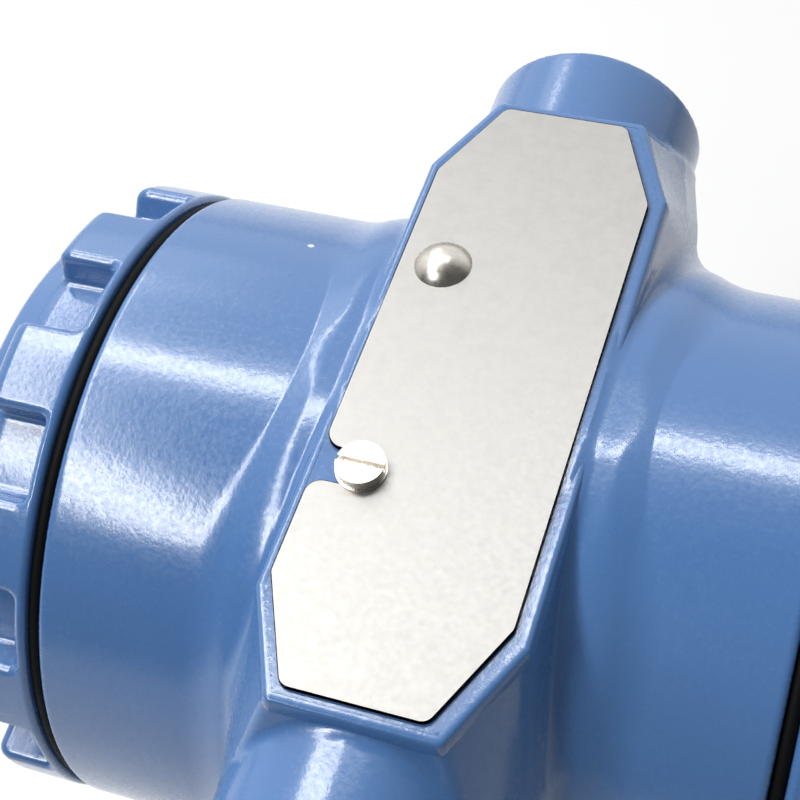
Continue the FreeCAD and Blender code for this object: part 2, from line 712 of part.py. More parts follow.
button_floor = "(axis_height + pad_height - button_bore_depth)"
for along in ("zero_along", "span_along"):
    housing_tools.append(cylinder("button_bore", "button_radius + running_gap", "button_bore_depth + 1",
                                  ("button_across", along, button_floor)))
keep("housing", cut("housing_cut", fuse("housing_blank", *housing_parts), *housing_tools))

# Rotation set screw, grounding screw and clamp
set_screw = cylinder("set_screw", "set_screw_radius", "set_screw_length",
                     ("-module_neck_radius - 2 * running_gap - set_screw_length", 0,
                      "axis_height - set_screw_drop"), "x")
keep("rotation_set_screw",
     cut("set_screw_cut", set_screw,
         hexagon("set_screw_socket", "set_screw_radius * 0.6", "set_screw_length * 0.4 + 1",
                 ("-module_neck_radius - 2 * running_gap - set_screw_length - 1", 0,
                  "axis_height - set_screw_drop"), "x")))
clamp_blank = box("clamp_blank", "clamp_size", "clamp_thickness", "clamp_size",
                  ("ground_along - clamp_size / 2", "ground_boss_reach",
                   "axis_height - ground_drop - clamp_size / 2"))
keep("ground_clamp",
     cut("clamp_cut", clamp_blank,
         cylinder("clamp_hole", "ground_screw_radius + thread_gap", "clamp_thickness + 2",
                  ("ground_along", "ground_boss_reach - 1", "axis_height - ground_drop"), "y")))
ground_blank = fuse("ground_blank",
                    cylinder("ground_head", "ground_head_radius", "ground_head_height",
                             ("ground_along", "ground_boss_reach + clamp_thickness",
                              "axis_height - ground_drop"), "y"),
                    cylinder("ground_shank", "ground_screw_radius", "ground_screw_grip + clamp_thickness",
                             ("ground_along", "ground_boss_reach - ground_screw_grip",
                              "axis_height - ground_drop"), "y"))
keep("ground_screw",
     cut("ground_cut", ground_blank,
         box("ground_slot", "2 * ground_head_radius + 2", "ground_head_height", "ground_head_height * 0.4",
             ("ground_along - ground_head_radius - 1",
              "ground_boss_reach + clamp_thickness + ground_head_height * 0.5",
              "axis_height - ground_drop - ground_head_height * 0.2"))))

# Nameplate on its pivot screw, with a slot that lets it swing clear of the lock screw
plate_slab = slab("plate_slab", octagon("plate_half_width", "plate_half_length",
                                        "plate_chamfer_across", "plate_chamfer_along"),
                  "plate_thickness", (0, 0, "axis_height + pad_height + seat_gap"))
plate_low = "axis_height + pad_height + seat_gap - 1"
plate_mouth = slab("plate_mouth", [
    ("-plate_half_width - 1", "lock_along - notch_half_width - notch_mouth - 1"),
    ("-plate_half_width + notch_mouth", "lock_along - notch_half_width"),
    ("-plate_half_width + notch_mouth", "lock_along + notch_half_width"),
    ("-plate_half_width - 1", "lock_along + notch_half_width + notch_mouth + 1")],
    "plate_thickness + 2", (0, 0, plate_low))
keep("nameplate",
     cut("plate_cut", rounded("plate_round", plate_slab, sizes["plate_corner"], upright),
         plate_mouth,
         box("plate_notch", "plate_half_width + pivot_across + 1", "2 * notch_half_width",
             "plate_thickness + 2", ("-plate_half_width - 1", "lock_along - notch_half_width", plate_low)),
         cylinder("plate_notch_end", "notch_half_width", "plate_thickness + 2",
                  ("pivot_across", "lock_along", plate_low)),
         cylinder("plate_pivot", "pivot_radius + thread_gap", "plate_thickness + 2",
                  ("pivot_across", "pivot_along", plate_low))))
dome_radius = "((pivot_head_radius^2 + pivot_head_height^2) / (2 * pivot_head_height))"
keep("pivot_screw",
     fuse("pivot", common("pivot_dome",
                          ball("dome_ball", dome_radius,
                               ("pivot_across", "pivot_along",
                                head_base + " + pivot_head_height - " + dome_radius)),
                          cylinder("dome_limit", "pivot_head_radius + 1", "pivot_head_height + 1",
                                   ("pivot_across", "pivot_along", head_base))),
          cylinder("pivot_shank", "pivot_radius", "pivot_grip + plate_thickness + 2 * seat_gap",
                   ("pivot_across", "pivot_along", "axis_height + pad_height - pivot_grip"))))
keep("lock_washer",
     cut("washer_cut", cylinder("washer", "lock_washer_radius", "lock_washer_thickness",
                                ("pivot_across", "lock_along", head_base)),
         cylinder("washer_hole", "lock_radius + thread_gap", "lock_washer_thickness + 2",
                  ("pivot_across", "lock_along", head_base + " - 1"))))
lock_base = "(%s + lock_washer_thickness + seat_gap)" % head_base
lock_blank = fuse("lock_blank",
                  cylinder("lock_head", "lock_head_radius", "lock_head_height",
                           ("pivot_across", "lock_along", lock_base)),
                  cylinder("lock_shank", "lock_radius",
                           lock_base + " - axis_height - pad_height + lock_grip",
                           ("pivot_across", "lock_along", "axis_height + pad_height - lock_grip")))
keep("lock_screw",
     cut("lock_cut", lock_blank,
         box("lock_slot", "2 * lock_head_radius + 2", "lock_slot_width", "lock_slot_depth + 1",
             ("pivot_across - lock_head_radius - 1", "lock_along - lock_slot_width / 2",
              lock_base + " + lock_head_height - lock_slot_depth"))))

# Adjustment buttons and their return springs
button_low = "(axis_height + pad_height - button_top_drop - button_length)"
for name, along in (("zero", "zero_along"), ("span", "span_along")):
    button = cylinder(name + "_rod", "button_radius", "button_length", ("button_across", along, button_low))
    keep(name + "_button",
         cut(name + "_cut", button,
             box(name + "_slot", "2 * button_radius + 2", "lock_slot_width", "lock_slot_depth + 1",
                 ("button_across - button_radius - 1", along + " - lock_slot_width / 2",
                  button_low + " + button_length - lock_slot_depth"))))
    coil = doc.addObject("Part::Helix", name + "_coil")
    coil.setExpression("Radius", bound("spring_radius"))
    coil.setExpression("Height", bound("%s - %s - 2 * spring_wire" % (button_low, button_floor)))
    coil.setExpression("Pitch", bound("(%s - %s - 2 * spring_wire) / spring_turns"
                                      % (button_low, button_floor)))
    wire = doc.addObject("Part::Circle", name + "_wire")
    wire.setExpression("Radius", bound("spring_wire"))
    place(wire, ("spring_radius", 0, 0), Rotation(Vector(1, 0, 0), 90))
    spring = doc.addObject("Part::Sweep", name + "_sweep")
    spring.Sections = [wire]
    spring.Spine = (coil, ["Edge1"])
    spring.Solid = True
    spring.Frenet = True
    keep(name + "_spring", place(spring, ("button_across", along, button_floor + " + spring_wire")))

# End covers: turned caps with twelve grip notches, each on a threaded spigot, and their sealing rings
for node, side, length in (("terminal_cover", -1, "left_length"), ("circuit_cover", 1, "right_length")):
    reach = [
        ("-cover_spigot", "spigot_bore_radius"), ("-cover_spigot", "spigot_radius"),
        ("cover_gap", "spigot_radius"), ("cover_gap", "cover_radius - cover_edge"),
        ("cover_gap + cover_edge", "cover_radius"), ("cover_rim - 2 * cover_edge", "cover_radius"),
        ("cover_rim", "cover_radius - 2 * cover_edge"), ("cover_rim", "skirt_radius"),
        ("cover_front - 2 * cover_edge", "skirt_front_radius"),
        ("cover_front", "skirt_front_radius - 2 * cover_edge"), ("cover_front", "cover_crown_radius"),
        ("cover_crown", "cover_crown_radius - 2 * cover_edge"), ("cover_crown", 0),
        ("cover_front - cover_wall", 0), ("cover_front - cover_wall", "spigot_bore_radius")]
    body = turning(node + "_body", "x", [("%d * (%s + %s)" % (side, length, along), radius)
                                         for along, radius in reach], (0, 0, axis))
    body.Placement = Placement(Vector(), Rotation(Vector(1, 0, 0), -sizes["cover_turn"]))
    notch = body.newObject("Sketcher::SketchObject", node + "_notch")
    origin_plane = [part for part in body.Origin.OriginFeatures if part.Role == "YZ_Plane"][0]
    notch.AttachmentSupport = [(origin_plane, "")]
    notch.MapMode = "FlatFace"
    notch.setExpression("AttachmentOffset.Base.z", bound("%d * (%s + cover_rim + 1)" % (side, length)))
    floor_half = "notch_width / 2 * notch_floor / cover_radius"
    open_half = "notch_width / 2 * (cover_radius + 2) / cover_radius"
    outline(notch, [("-(%s)" % floor_half, "notch_floor"), (floor_half, "notch_floor"),
                    (open_half, "cover_radius + 2"), ("-(%s)" % open_half, "cover_radius + 2")])
    pocket = body.newObject("PartDesign::Pocket", node + "_pocket")
    pocket.Profile = notch
    pocket.setExpression("Length", bound("cover_rim + 1 - notch_start"))
    pocket.Reversed = side < 0
    grips = body.newObject("PartDesign::PolarPattern", node + "_grips")
    grips.Originals = [pocket]
    grips.Axis = (notch, ["N_Axis"])
    grips.Angle = 360.0
    grips.setExpression("Occurrences", bound("notch_count"))
    body.Tip = grips
    keep(node, body)
    keep(node + "_ring", ring(node + "_seal", "cover_ring_radius - cover_gap / 2", "cover_gap / 2 - seat_gap",
                              ("%d * (%s + cover_gap / 2)" % (side, length), 0, axis), "x"))

# Field terminals in the left compartment
tower_face = "(-bulkhead_left - terminal_disc_thickness - tower_depth)"
block_blank = fuse("terminal_blank",
                   cylinder("terminal_disc", "terminal_disc_radius", "terminal_disc_thickness",
                            ("-bulkhead_left", 0, axis), "-x"),
                   box("terminal_tower", "tower_depth", "tower_width", "tower_height",
                       (tower_face, "-tower_width / 2", "axis_height - tower_height / 2")))
terminal_tools = []
for number in range(3):
    spot = "%d * terminal_spacing" % (number - 1)
    terminal_tools.append(cylinder("terminal_pocket", "terminal_pocket_radius", "terminal_pocket_depth + 1",
                                   (tower_face + " - 1", spot, axis), "x"))
    terminal_tools.append(cylinder("terminal_hole", "terminal_screw_radius + thread_gap",
                                   "terminal_disc_thickness + 0.5",
                                   (tower_face + " + terminal_pocket_depth", spot, axis), "x"))
    head = cylinder("terminal_head", "terminal_head_radius", "terminal_head_height",
                    (tower_face + " + terminal_pocket_depth", spot, axis), "-x")
    shank = cylinder("terminal_shank", "terminal_screw_radius", "terminal_disc_thickness",
                     (tower_face + " + terminal_pocket_depth", spot, axis), "x")
    keep("terminal_screw_%d" % (number + 1),
         cut("terminal_screw_cut", fuse("terminal_screw_blank", head, shank),
             box("terminal_slot", "terminal_head_height * 0.4 + 1", "2 * terminal_head_radius + 2", 1,
                 (tower_face + " + terminal_pocket_depth - terminal_head_height - 1",
                  spot + " - terminal_head_radius - 1", "axis_height - 0.5"))))
for number, b in enumerate(signs, 1):
    height = "axis_height + %d * block_screw_offset" % b
    terminal_tools.append(cylinder("block_hole", "block_screw_radius + thread_gap",
                                   "terminal_disc_thickness + 2",
                                   ("-bulkhead_left - terminal_disc_thickness - 1", 0, height), "x"))
    keep("block_screw_%d" % number,
         fuse("block_screw", cylinder("block_head", "block_screw_head_radius", "block_screw_head_height",
                                      ("-bulkhead_left - terminal_disc_thickness", 0, height), "-x"),
              cylinder("block_shank", "block_screw_radius", "terminal_disc_thickness + bulkhead_grip",
                       ("-bulkhead_left - terminal_disc_thickness", 0, height), "x")))
keep("terminal_block", cut("terminal_cut", block_blank, *terminal_tools))

# Electronics stack in the right compartment, and the flat cable down to the sensor
board_back = "(bulkhead_right + spacer_length)"
board_front = "(%s + board_thickness)" % board_back
shroud_front = "(%s + shroud_length)" % board_front
board_holes = []
shroud_pillars = []
shroud_holes = []
for number, (place_y, place_z) in enumerate(stack_places, 1):
    keep("board_spacer_%d" % number,
         cut("spacer_cut", cylinder("spacer", "spacer_radius", "spacer_length",
                                    ("bulkhead_right", place_y, place_z), "x"),
             cylinder("spacer_hole", "stack_screw_radius + thread_gap", "spacer_length + 2",
                      ("bulkhead_right - 1", place_y, place_z), "x")))
    keep("stack_screw_%d" % number,
         fuse("stack_screw", cylinder("stack_head", "stack_head_radius", "stack_head_height",
                                      (shroud_front, place_y, place_z), "x"),
              cylinder("stack_shank", "stack_screw_radius",
                       shroud_front + " - bulkhead_right + bulkhead_grip",
                       ("bulkhead_right - bulkhead_grip", place_y, place_z), "x")))
    board_holes.append(cylinder("board_hole", "stack_screw_radius + thread_gap", "board_thickness + 2",
                                (board_back + " - 1", place_y, place_z), "x"))
    shroud_pillars.append(cylinder("shroud_pillar", "spacer_radius", "shroud_length",
                                   (board_front, place_y, place_z), "x"))
    shroud_holes.append(cylinder("shroud_hole", "stack_screw_radius + thread_gap", "shroud_length + 2",
                                 (board_front + " - 1", place_y, place_z), "x"))
keep("electronics_board", cut("board_cut", cylinder("board", "board_radius", "board_thickness",
                                                    (board_back, 0, axis), "x"), *board_holes))
shroud_shell = cut("shroud_shell", cylinder("shroud_out", "shroud_radius", "shroud_length",
                                            (board_front, 0, axis), "x"),
                   cylinder("shroud_in", "shroud_radius - shroud_wall", "shroud_length - shroud_wall + 1",
                            (board_front + " - 1", 0, axis), "x"))
keep("electronics_shroud", cut("shroud_cut", fuse("shroud_blank", shroud_shell, *shroud_pillars),
                               *shroud_holes))
connector_low = "(axis_height - connector_drop)"
keep("ribbon_connector", box("connector", "connector_depth", "2 * connector_half_width", "connector_height",
                             (board_back + " - connector_depth", "-connector_half_width", connector_low)))
keep("ribbon_cable", box("ribbon", "ribbon_thickness", "2 * ribbon_half_width",
                         connector_low + " - axis_height + neck_bore_top - ribbon_gap",
                         (board_back + " - connector_depth / 2 - ribbon_thickness / 2",
                          "-ribbon_half_width", "axis_height - neck_bore_top + ribbon_gap")))

doc.recompute()
failed = [item.Name for item in doc.Objects if "Invalid" in item.State or "Error" in item.State]
for node in ("terminal_cover", "circuit_cover"):
    if pieces[node].Shape.Volume > doc.getObject(node + "_body_turn").Shape.Volume - 100:
        failed.append(node + " notches")
if failed:
    raise RuntimeError("not built: " + ", ".join(failed))
for node, item in pieces.items():
    shape = item.Shape
    if shape.isNull() or not shape.isValid() or len(shape.Solids) != 1:
        raise RuntimeError("bad shape: %s" % node)
for node, item in pieces.items():
    item.Shape.exportStep("parts/%s.step" % node)
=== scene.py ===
import bpy
import json
import math
import numpy as np
from mathutils import Matrix, Vector
from mathutils.geometry import tessellate_polygon


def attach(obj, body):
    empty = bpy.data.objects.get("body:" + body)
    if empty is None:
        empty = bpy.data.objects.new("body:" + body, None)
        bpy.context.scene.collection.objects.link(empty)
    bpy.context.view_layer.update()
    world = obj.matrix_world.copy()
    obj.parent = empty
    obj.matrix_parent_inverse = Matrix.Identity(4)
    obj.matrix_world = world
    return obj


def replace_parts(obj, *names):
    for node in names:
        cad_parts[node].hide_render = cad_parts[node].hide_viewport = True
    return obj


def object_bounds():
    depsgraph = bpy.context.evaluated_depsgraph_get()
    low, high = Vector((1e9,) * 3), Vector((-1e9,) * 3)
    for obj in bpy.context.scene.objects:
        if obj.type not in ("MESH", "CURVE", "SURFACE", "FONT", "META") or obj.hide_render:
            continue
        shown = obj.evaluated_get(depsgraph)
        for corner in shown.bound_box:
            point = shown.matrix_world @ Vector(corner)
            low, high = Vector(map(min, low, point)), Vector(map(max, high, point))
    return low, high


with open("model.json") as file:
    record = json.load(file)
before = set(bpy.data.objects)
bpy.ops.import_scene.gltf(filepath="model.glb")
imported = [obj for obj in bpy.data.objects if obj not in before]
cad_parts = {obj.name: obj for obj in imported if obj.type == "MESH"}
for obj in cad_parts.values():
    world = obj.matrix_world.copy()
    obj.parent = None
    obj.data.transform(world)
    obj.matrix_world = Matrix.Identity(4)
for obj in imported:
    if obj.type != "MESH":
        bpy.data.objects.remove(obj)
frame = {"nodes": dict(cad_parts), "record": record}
cadLow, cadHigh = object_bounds()
cadNodes = frame["nodes"]
axisHeight = 141.0  # mm from the flange's base to the cover axis
rng = np.random.default_rng(7)
print("frame loaded")


def srgb(*values):
    return tuple(v / 255 / 12.92 if v < 10.3 else ((v / 255 + 0.055) / 1.055) ** 2.4 for v in values) + (1,)


# fields: negative inside, in mm, with the cover axis through the origin
def joined(a, b, radius):  # union with a fillet
    u = np.maximum(radius - a, 0)
    v = np.maximum(radius - b, 0)
    return np.maximum(radius, np.minimum(a, b)) - np.sqrt(u * u + v * v)


def shared(a, b, radius):  # intersection with a rounded edge
    u = np.maximum(radius + a, 0)
    v = np.maximum(radius + b, 0)
    return np.minimum(-radius, np.maximum(a, b)) + np.sqrt(u * u + v * v)


def without(a, b, radius):
    return shared(a, -b, radius)


def gradient(field, points, step=0.08):
    slope = np.empty_like(points)
    for axis in range(3):
        shift = np.zeros(3)
        shift[axis] = step
        slope[:, axis] = (field(*(points + shift).T) - field(*(points - shift).T)) / (2 * step)
    return slope


def netSurface(field, axes, place=None, around=False):  # one vertex per crossed cell, set by tangent planes
    grid = np.meshgrid(*axes, indexing="ij")
    values = field(*(place(*grid) if place else grid)).astype(np.float32)
    cells = tuple(n - 1 for n in values.shape)
    found = []
    for axis in range(3):
        low = [slice(None)] * 3
        high = [slice(None)] * 3
        low[axis], high[axis] = slice(0, -1), slice(1, None)
        a, b = values[tuple(low)], values[tuple(high)]
        where = np.argwhere((a < 0) != (b < 0))
        here = tuple(where.T)
        share = a[here] / (a[here] - b[here])
        spot = np.stack([axes[d][where[:, d]] for d in range(3)], axis=1).astype(float)
        spot[:, axis] += share * (axes[axis][where[:, axis] + 1] - axes[axis][where[:, axis]])
        found.append((axis, where, a[here] < 0, np.stack(place(*spot.T), axis=1) if place else spot))
    ids = -np.ones(cells, np.int64)
    links = []
    for axis, where, inside, spot in found:
        others = [d for d in range(3) if d != axis]
        corners = []
        for one, two in ((1, 1), (0, 1), (0, 0), (1, 0)):
            cell = where.copy()
            cell[:, others[0]] -= one
            cell[:, others[1]] -= two
            if around:
                cell[:, 2] %= cells[2]
            corners.append(cell)
        corners = np.stack(corners, axis=1)
        good = ((corners >= 0) & (corners < np.array(cells))).all((1, 2))
        if around:
            good &= where[:, 2] < cells[2]
        corners, inside, spot = corners[good], inside[good], spot[good]
        ids[tuple(corners.reshape(-1, 3).T)] = 0
        links.append((axis, corners, inside, spot))
    used = ids == 0
    ids[used] = np.arange(used.sum())
    total = int(used.sum())
    centre, count = np.zeros((total, 3)), np.zeros(total)
    slopes = []
    for axis, corners, inside, spot in links:
        slope = gradient(field, spot)
        slopes.append(slope / np.maximum(np.linalg.norm(slope, axis=1), 1e-9)[:, None])
        for k in range(4):
            vertex = ids[tuple(corners[:, k].T)]
            count += np.bincount(vertex, minlength=total)
            for d in range(3):
                centre[:, d] += np.bincount(vertex, spot[:, d], total)
    centre /= count[:, None]
    square, pull = np.zeros((total, 3, 3)), np.zeros((total, 3))
    quads = []
    for (axis, corners, inside, spot), slope in zip(links, slopes):
        face = []
        for k in range(4):
            vertex = ids[tuple(corners[:, k].T)]
            face.append(vertex)
            reach = ((spot - centre[vertex]) * slope).sum(1)
            for d in range(3):
                pull[:, d] += np.bincount(vertex, slope[:, d] * reach, total)
                for e in range(3):
                    square[:, d, e] += np.bincount(vertex, slope[:, d] * slope[:, e], total)
        face = np.stack(face, axis=1)
        flip = inside == (axis != 1)
        face[~flip] = face[~flip][:, ::-1]
        quads.append(face)
    square += np.eye(3) * 0.06 * count[:, None, None]
    shift = np.linalg.solve(square, pull[:, :, None])[:, :, 0]
    shift *= np.minimum(1, 0.7 / np.maximum(np.linalg.norm(shift, axis=1), 1e-9))[:, None]
    points = centre + shift
    for _ in range(3):
        slope = gradient(field, points)
        size = np.maximum((slope * slope).sum(1), 0.05)
        move = slope * (field(*points.T) / size)[:, None]
        points -= move * np.minimum(1, 0.35 / np.maximum(np.linalg.norm(move, axis=1), 1e-9))[:, None]
    normals = gradient(field, points)
    normals /= np.maximum(np.linalg.norm(normals, axis=1), 1e-9)[:, None]
    return points, np.concatenate(quads), normals


def addMesh(name, points, faces, body, material, normals=None, raised=True, smooth=True):
    data = bpy.data.meshes.new(name)
    places = np.asarray(points, float) / 1000
    if raised:
        places = places + np.array([0, 0, axisHeight / 1000])
    data.from_pydata(places.tolist(), [], [list(map(int, face)) for face in faces])
    data.update()
    if smooth:
        data.polygons.foreach_set("use_smooth", [True] * len(data.polygons))
    if normals is not None:
        data.normals_split_custom_set_from_vertices(normals.tolist())
    item = bpy.data.objects.new(name, data)
    bpy.context.scene.collection.objects.link(item)
    item.data.materials.append(material)
    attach(item, body)
    return item


# materials
def makeMaterial(name):
    material = bpy.data.materials.new(name)
    material.use_nodes = True
    return material, material.node_tree, material.node_tree.nodes["Principled BSDF"]


def addNode(tree, kind, options=None, **values):
    item = tree.nodes.new("ShaderNode" + kind)
    for key, value in (options or {}).items():
        setattr(item, key, value)
    for key, value in values.items():
        name = key.replace("_", " ")
        target = item.inputs[int(name[1:])] if name[0] == "i" and name[1:].isdigit() else item.inputs[name]
        if isinstance(value, bpy.types.NodeSocket):
            tree.links.new(value, target)
        else:
            target.default_value = value
    return item


def noise(tree, where, scale, detail=2.0, rough=0.5):
    return addNode(tree, "TexNoise", Vector=where, Scale=scale, Detail=detail, Roughness=rough).outputs["Fac"]


def ramp(tree, value, stops):
    item = addNode(tree, "ValToRGB", Fac=value)
    item.color_ramp.elements[0].position, item.color_ramp.elements[0].color = stops[0]
    item.color_ramp.elements[1].position, item.color_ramp.elements[1].color = stops[-1]
    for position, color in stops[1:-1]:
        item.color_ramp.elements.new(position).color = color
    return item.outputs["Color"]


def spread(tree, value, low, high, outLow, outHigh):
    return addNode(tree, "MapRange", i0=value, i1=low, i2=high, i3=outLow, i4=outHigh).outputs[0]


def maths(tree, operation, a, b=0.0):
    return addNode(tree, "Math", {"operation": operation}, i0=a, i1=b).outputs[0]


def bump(tree, height, distance, strength=1.0, normal=None):
    extra = {"Normal": normal} if normal is not None else {}
    return addNode(tree, "Bump", Height=height, Distance=distance, Strength=strength, **extra).outputs["Normal"]


def grey(value):
    return (value, value, value, 1)


def objectCoords(tree):
    return addNode(tree, "TexCoord").outputs["Object"]


paintLook = dict(deep=(0.062, 0.155, 0.358, 1), pale=(0.071, 0.172, 0.392, 1), patch=34, peel=420, fine=1700,
                 rough=(0.17, 0.3), coat=0.4, coatRough=0.09,
                 speck=srgb(205, 215, 230), speckScale=120.0, speckShare=0.035, speckSize=0.05)


def paint():  # glossy coat with orange peel, fine grain and a few specks
    p = paintLook
    material, tree, shader = makeMaterial("bluePaint")
    where = objectCoords(tree)
    peel = noise(tree, where, p["peel"], 2.0, 0.5)
    fine = noise(tree, where, p["fine"], 3.0, 0.6)
    patch = noise(tree, where, p["patch"], 3.0)
    cells = addNode(tree, "TexVoronoi", {"feature": "F1"}, Vector=where, Scale=p["speckScale"])
    chance = addNode(tree, "SeparateColor", Color=cells.outputs["Color"]).outputs[0]
    pick = maths(tree, "GREATER_THAN", chance, 1 - p["speckShare"])
    dot = maths(tree, "MULTIPLY", maths(tree, "LESS_THAN", cells.outputs["Distance"], p["speckSize"]), pick)
    tone = ramp(tree, patch, [(0.3, p["deep"]), (0.7, p["pale"])])
    speck = addNode(tree, "Mix", {"data_type": "RGBA"}, Factor=dot, A=tone, B=p["speck"])
    tree.links.new(speck.outputs[2], shader.inputs["Base Color"])
    tree.links.new(spread(tree, fine, 0.35, 0.68, *p["rough"]), shader.inputs["Roughness"])
    first = bump(tree, peel, 0.00005, 0.3)
    second = bump(tree, fine, 0.00003, 0.55, first)
    third = bump(tree, dot, 0.00012, 0.9, second)
    tree.links.new(third, shader.inputs["Normal"])
    tree.links.new(third, shader.inputs["Coat Normal"])
    shader.inputs["Coat Weight"].default_value = p["coat"]
    shader.inputs["Coat Roughness"].default_value = p["coatRough"]
    return material


def metal(name, color, rough, roughVary=0.1, grain=None, dark=0.75, scale=60, bumpSize=0.00002):
    material, tree, shader = makeMaterial(name)
    where = objectCoords(tree)
    along = addNode(tree, "Mapping", Vector=where, Scale=grain).outputs[0] if grain else where
    lines = noise(tree, along, 1500, 2.0, 0.6)
    patch = noise(tree, where, scale, 4.0, 0.6)
    low = tuple(c * dark for c in color[:3]) + (1,)
    tree.links.new(ramp(tree, patch, [(0.3, low), (0.6, color)]), shader.inputs["Base Color"])
    tree.links.new(spread(tree, maths(tree, "ADD", lines, patch), 0.6, 1.4, rough - roughVary, rough + roughVary),
                   shader.inputs["Roughness"])
    tree.links.new(bump(tree, lines, bumpSize, 0.5), shader.inputs["Normal"])
    shader.inputs["Metallic"].default_value = 1.0
    return material


def plastic(name, color, rough, lift=1.3, scale=300, bumpSize=0.00003, gloss=0.5):
    material, tree, shader = makeMaterial(name)
    where = objectCoords(tree)
    grain = noise(tree, where, scale * 4, 2.0, 0.6)
    patch = noise(tree, where, scale / 4, 3.0)
    high = tuple(min(c * lift, 1) for c in color[:3]) + (1,)
    tree.links.new(ramp(tree, patch, [(0.3, color), (0.7, high)]), shader.inputs["Base Color"])
    tree.links.new(spread(tree, grain, 0.3, 0.7, rough - 0.06, rough + 0.08), shader.inputs["Roughness"])
    tree.links.new(bump(tree, grain, bumpSize, 0.4), shader.inputs["Normal"])
    shader.inputs["Specular IOR Level"].default_value = gloss
    return material


looks = {
    "blue_paint": paint(),
    "plate_steel": metal("plateSteel", srgb(159, 158, 155), 0.46, 0.05, None, 0.92, 620, 0.000012),
    "small_screws": metal("nickel", srgb(224, 219, 210), 0.27, 0.08, None, 0.76, 420),
    "stainless_casting": metal("castSteel", srgb(196, 196, 193), 0.38, 0.08, None, 0.85, 90, 0.00006),
    "stainless": metal("turnedSteel", srgb(206, 205, 201), 0.24, 0.06, (1, 1, 0.05), 0.85, 120),
    "module_steel": metal("blastedSteel", srgb(200, 200, 198), 0.42, 0.06, None, 0.88, 80, 0.00004),
    "plated_steel": metal("zincSteel", srgb(190, 188, 178), 0.34, 0.1, None, 0.75, 150),
    "spring_steel": metal("springWire", srgb(180, 180, 178), 0.25, 0.06),
    "standoff_brass": metal("brass", srgb(214, 176, 104), 0.25, 0.06),
    "header_alloy": metal("headerAlloy", srgb(200, 190, 165), 0.35, 0.06),
    "black_rubber": plastic("rubber", srgb(7, 7, 8), 0.6, 1.8, 260, gloss=0.12),
    "circuit_board": plastic("laminate", srgb(22, 92, 52), 0.35, 1.3, 160),
    "button_plastic": plastic("buttonPlastic", srgb(34, 34, 36), 0.4, 1.5, 300),
    "terminal_plastic": plastic("terminalPlastic", srgb(40, 41, 43), 0.45, 1.5, 260),
    "ribbon_plastic": plastic("ribbonPlastic", srgb(150, 152, 156), 0.4, 1.2, 200),
}
slotOf = {row["node"]: row["material_slot"] for row in frame["record"]["subparts"]}
for nodeName, item in cadNodes.items():
    item.data.materials.clear()
    item.data.materials.append(looks[slotOf[nodeName]])
print("materials made")

# housing: cast shell with fillets, in one field
case = dict(
    shell=39.5, left=41.95, right=38.15, edge=0.8,
    ringHalf=18.3, ringBlend=4.6, ringRise=1.7, ringShift=0.55, ringTurn=42, crestEdge=0.45, footEdge=0.2,
    crestHalf=16.4, crestBlend=3.1, crestRise=0.53, crestTop=39.82,
    padX=14.2, padY=40.6, cutX=5.15, cutY=11.35, padTop=39.88, padShift=0.3, rim=1.1, turn=0.24, turnDepth=9,
    blockTop=38.6, blockLow=24.0, slopeX=0.17, slopeY=0.55, foot=-4.0, footX=19.0, footY=38.0,
    bossRadius=13.8, bossHeight=24.5, bossEnd=52.8, bossFillet=0.9, bore=10.3, boreDepth=16.0,
    wayX=-8, wayRadius=6.5, wayEnd=37.2,
    cavity=34.4, thread=36.0, threadDepth=13.0, wallLeft=4.0, wallRight=1.0, beyond=60,
    neckRadius=23.5, neckStart=-30, neckEnd=52.0, neckFillet=3.0, neckBore=15.55, neckTop=37.0,
    groundX=-27, groundZ=-15, groundRadius=7, groundStart=25, groundEnd=41, groundFillet=2.0,
    slotX=7.5, slotHalfX=4.5, slotHalfY=9, slotTop=-19.5, slotLow=-38,
    buttonX=2.5, buttonsY=(-22, -33), buttonRadius=2.66, buttonFloor=28.9,
    lock=(-7.5, -14.2), lockRadius=1.55, lockFloor=35.1)


def octagonField(x, y, halfX, halfY, cutX, cutY):
    size = np.hypot(cutX, cutY)
    corner = (np.abs(x) - halfX) * cutY / size + (np.abs(y) - (halfY - cutY)) * cutX / size
    return shared(shared(np.abs(x) - halfX, np.abs(y) - halfY, 0.8), corner, 0.8)


def ringSpan(y, z):  # the ring widens from the nameplate pad down its sides
    c = case
    low = np.clip(np.abs(np.arctan2(y, z)) / math.radians(c["ringTurn"]), 0, 1)
    low = low * low * (3 - 2 * low)
    half = c["crestHalf"] + (c["ringHalf"] - c["crestHalf"]) * low
    return low, half, c["crestBlend"] + (c["ringBlend"] - c["crestBlend"]) * low


def softRamp(value, width):  # 0 below zero, then the value itself, rounded over the width
    return np.where(value > width, value, np.maximum(value + width, 0) ** 2 / (4 * width))


def ringPlace(u, y, z):  # bends the grid so that its fine rows follow the ring's edges
    c = case
    low, half, blend = ringSpan(y, z)
    foot = half + blend
    inner, outer, start, end = c["crestHalf"], c["crestHalf"] + c["crestBlend"], 14.6, 30.0
    a = np.abs(u - c["ringShift"])
    far = np.where(a < end, foot + (a - outer) * (end - foot) / (end - outer), a)
    middle = np.where(a < outer, half + (a - inner) * blend / (outer - inner), far)
    near = np.where(a < inner, start + (a - start) * (half - start) / (inner - start), middle)
    return c["ringShift"] + np.sign(u - c["ringShift"]) * np.where(a < start, a, near), y, z


